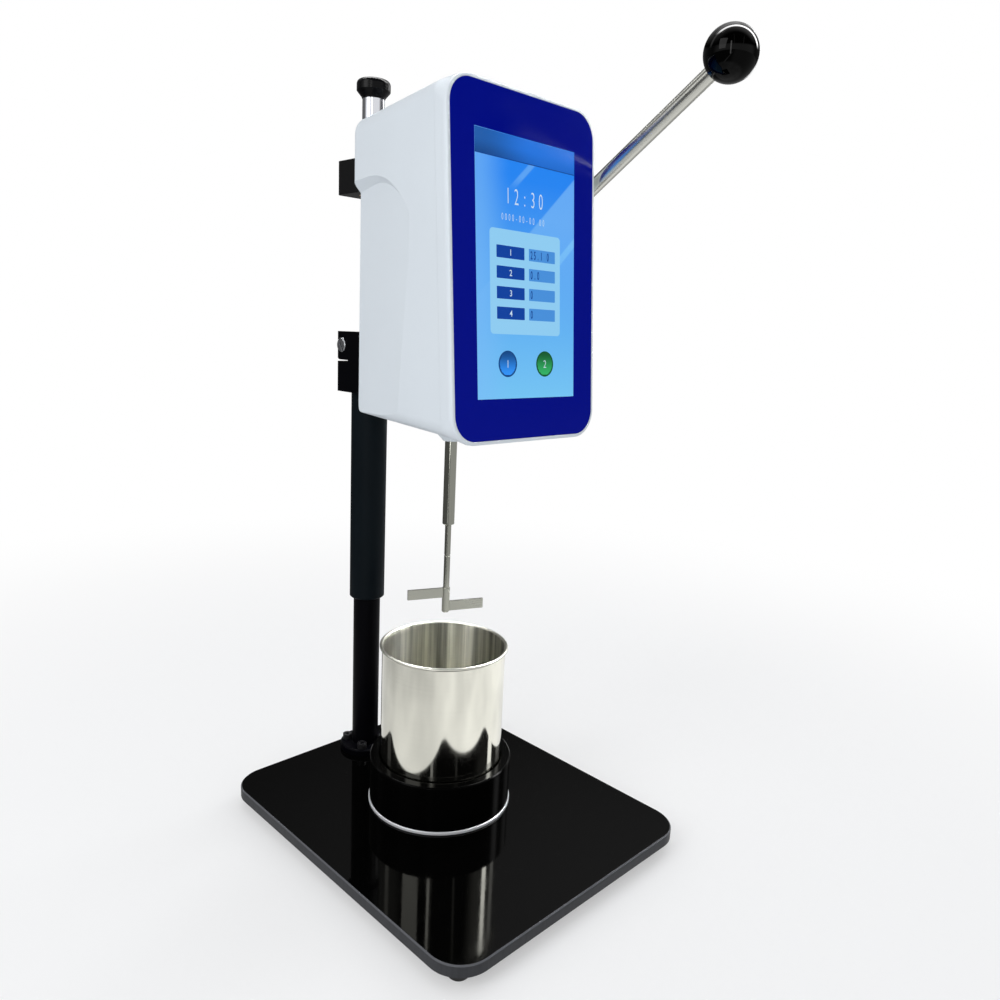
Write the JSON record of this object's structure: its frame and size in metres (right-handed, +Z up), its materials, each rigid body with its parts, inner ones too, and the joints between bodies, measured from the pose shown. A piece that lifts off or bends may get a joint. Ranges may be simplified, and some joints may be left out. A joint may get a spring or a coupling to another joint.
{
  "type": "stormer viscometer",
  "caption": "Bench paint viscometer: lever-operated sliding head with touch display, column stand, turning paddle and lift-out steel cup on a heavy base plate.",
  "frame": {"origin": "on the bench, under the middle of the part's outer box", "axes": "+Z up, -Y towards the user (the display side), +X towards the lever side"},
  "size_m": [0.209, 0.2668, 0.5102],
  "materials": {
    "black_plate": "deep gloss black",
    "black_rubber": "matt black rubber",
    "zinc_steel": "zinc plated",
    "black_metal": "black anodised, satin",
    "black_steel": "black oxide steel",
    "chrome": "hard chrome, polished",
    "black_plastic": "moulded, satin black",
    "silver_ring": "bare turned aluminium",
    "polished_steel": "polished stainless",
    "white_shell": "smooth white moulding",
    "blue_panel": "deep blue gloss overlay",
    "display": "lit blue display",
    "circuit_board": "green solder mask",
    "brass": "machined",
    "sheet_metal": "plated sheet",
    "bare_aluminium": "turned",
    "motor_metal": "dark plated can",
    "gear_steel": "milled steel",
    "white_nylon": "nylon",
    "knob_plastic": "polished black phenolic"
  },
  "bodies": {
    "stand": {"base_plate": "black_plate", "rubber_feet": "black_rubber", "foot_screws": "zinc_steel", "column_flange": "black_metal", "flange_screws": "black_steel", "column_bolt": "zinc_steel", "column_tube": "black_metal", "guide_rod": "chrome", "rod_cap": "black_plastic", "locating_ring": "silver_ring", "cup_holder": "black_metal", "holder_screws": "zinc_steel"},
    "cup": {"sample_cup": "polished_steel"},
    "head": {"housing_shell": "white_shell", "front_frame": "white_shell", "frame_screws": "zinc_steel", "front_panel": "blue_panel", "display_screen": "display", "display_board": "circuit_board", "board_spacers": "brass", "main_board": "circuit_board", "board_screws": "zinc_steel", "chassis": "sheet_metal", "block_screws": "black_steel", "upper_slide_block": "black_metal", "upper_bush": "brass", "lower_slide_block": "black_metal", "lower_bush": "brass", "clamp_screw": "zinc_steel", "column_sleeve": "black_metal", "shaft_housing": "bare_aluminium", "boss_screws": "black_steel", "pivot_bushes": "brass", "drive_motor": "motor_metal", "motor_screws": "black_steel", "bearing_housing": "bare_aluminium", "spindle_bearings": "polished_steel", "nose_ring": "white_shell", "switch_body": "black_plastic", "switch_terminals": "brass", "dc_inlet": "black_plastic", "inlet_pin": "zinc_steel", "inlet_nut": "zinc_steel"},
    "rocker": {"power_rocker": "black_plastic"},
    "lever": {"pivot_shaft": "polished_steel", "retaining_ring": "black_steel", "sector_gear": "gear_steel", "gear_pin": "zinc_steel", "thrust_washer": "white_nylon", "lever_hub": "chrome", "hub_screw": "black_steel", "lever_rod": "chrome", "ball_knob": "knob_plastic"},
    "spindle": {"drive_spindle": "polished_steel", "chuck_screw": "black_steel", "shaft_coupling": "bare_aluminium", "motor_shaft": "polished_steel", "paddle_shaft": "polished_steel", "paddle_blades": "polished_steel"}
  },
  "joints": [
    {"name": "head_slide", "type": "slide", "parent": "stand", "child": "head", "axis": [0, 0, -1], "range_m": [0, 0.085]},
    {"name": "lever_swing", "type": "hinge", "parent": "head", "child": "lever", "pos_m": [0, 0.0586, 0.3749], "axis": [1, 0, 0], "range_deg": [0, 99]},
    {"name": "spindle_spin", "type": "hinge", "parent": "head", "child": "spindle", "pos_m": [0, 0.0222, 0.25], "axis": [0, 0, 1], "continuous": true},
    {"name": "cup_lift", "type": "slide", "parent": "stand", "child": "cup", "axis": [0, 0, 1], "range_m": [0, 0.02]},
    {"name": "power_switch", "type": "hinge", "parent": "head", "child": "rocker", "pos_m": [0.022, 0.0409, 0.28534], "axis": [1, 0, 0], "range_deg": [0, 16]}
  ],
  "couplings": [
    {"joint": "lever_swing", "follows": "head_slide", "rad_per_m": 20.202}
  ]
}
